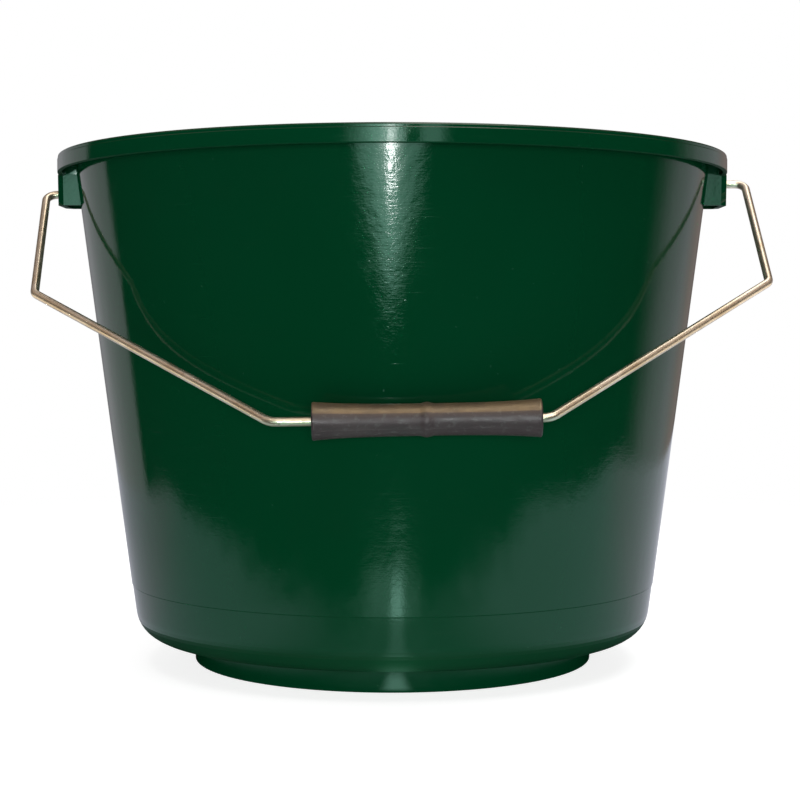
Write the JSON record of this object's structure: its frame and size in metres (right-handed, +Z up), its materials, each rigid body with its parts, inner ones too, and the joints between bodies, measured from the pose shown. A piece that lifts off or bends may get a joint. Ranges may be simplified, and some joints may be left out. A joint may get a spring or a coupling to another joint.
{
  "type": "feed bucket",
  "caption": "Tapered round moulded feed bucket with a turned-down rim, a foot ring, moulded ears, a swinging bent-wire bail and a loose spinning hand grip.",
  "frame": {"origin": "on the ground, on the bucket's axis, at the centre of the ring that it stands on", "axes": "+Z up along the bucket's axis; +X towards the right ear, along the bail's hinge line; -Y is the front, where the bail lies at rest"},
  "size_m": [0.3532, 0.33, 0.248],
  "materials": {
    "green_moulding": "glossy moulded polyethylene, dark bottle green, finely scratched",
    "zinc_wire": "bright zinc plated drawn wire",
    "black_moulding": "satin moulded plastic, near black"
  },
  "bodies": {
    "bucket": {"bucket": "green_moulding"},
    "bail": {"bail": "zinc_wire"},
    "grip": {"grip": "black_moulding"}
  },
  "joints": [
    {"name": "bail_swing", "type": "hinge", "parent": "bucket", "child": "bail", "pos_m": [0, 0, 0.23405], "axis": [-0.9999, 0, -0.0157], "range_deg": [0, 252.2]},
    {"name": "grip_spin", "type": "hinge", "parent": "bail", "child": "grip", "pos_m": [0.01436, -0.14899, 0.12561], "axis": [0.9999, 0, 0.0157], "continuous": true}
  ]
}
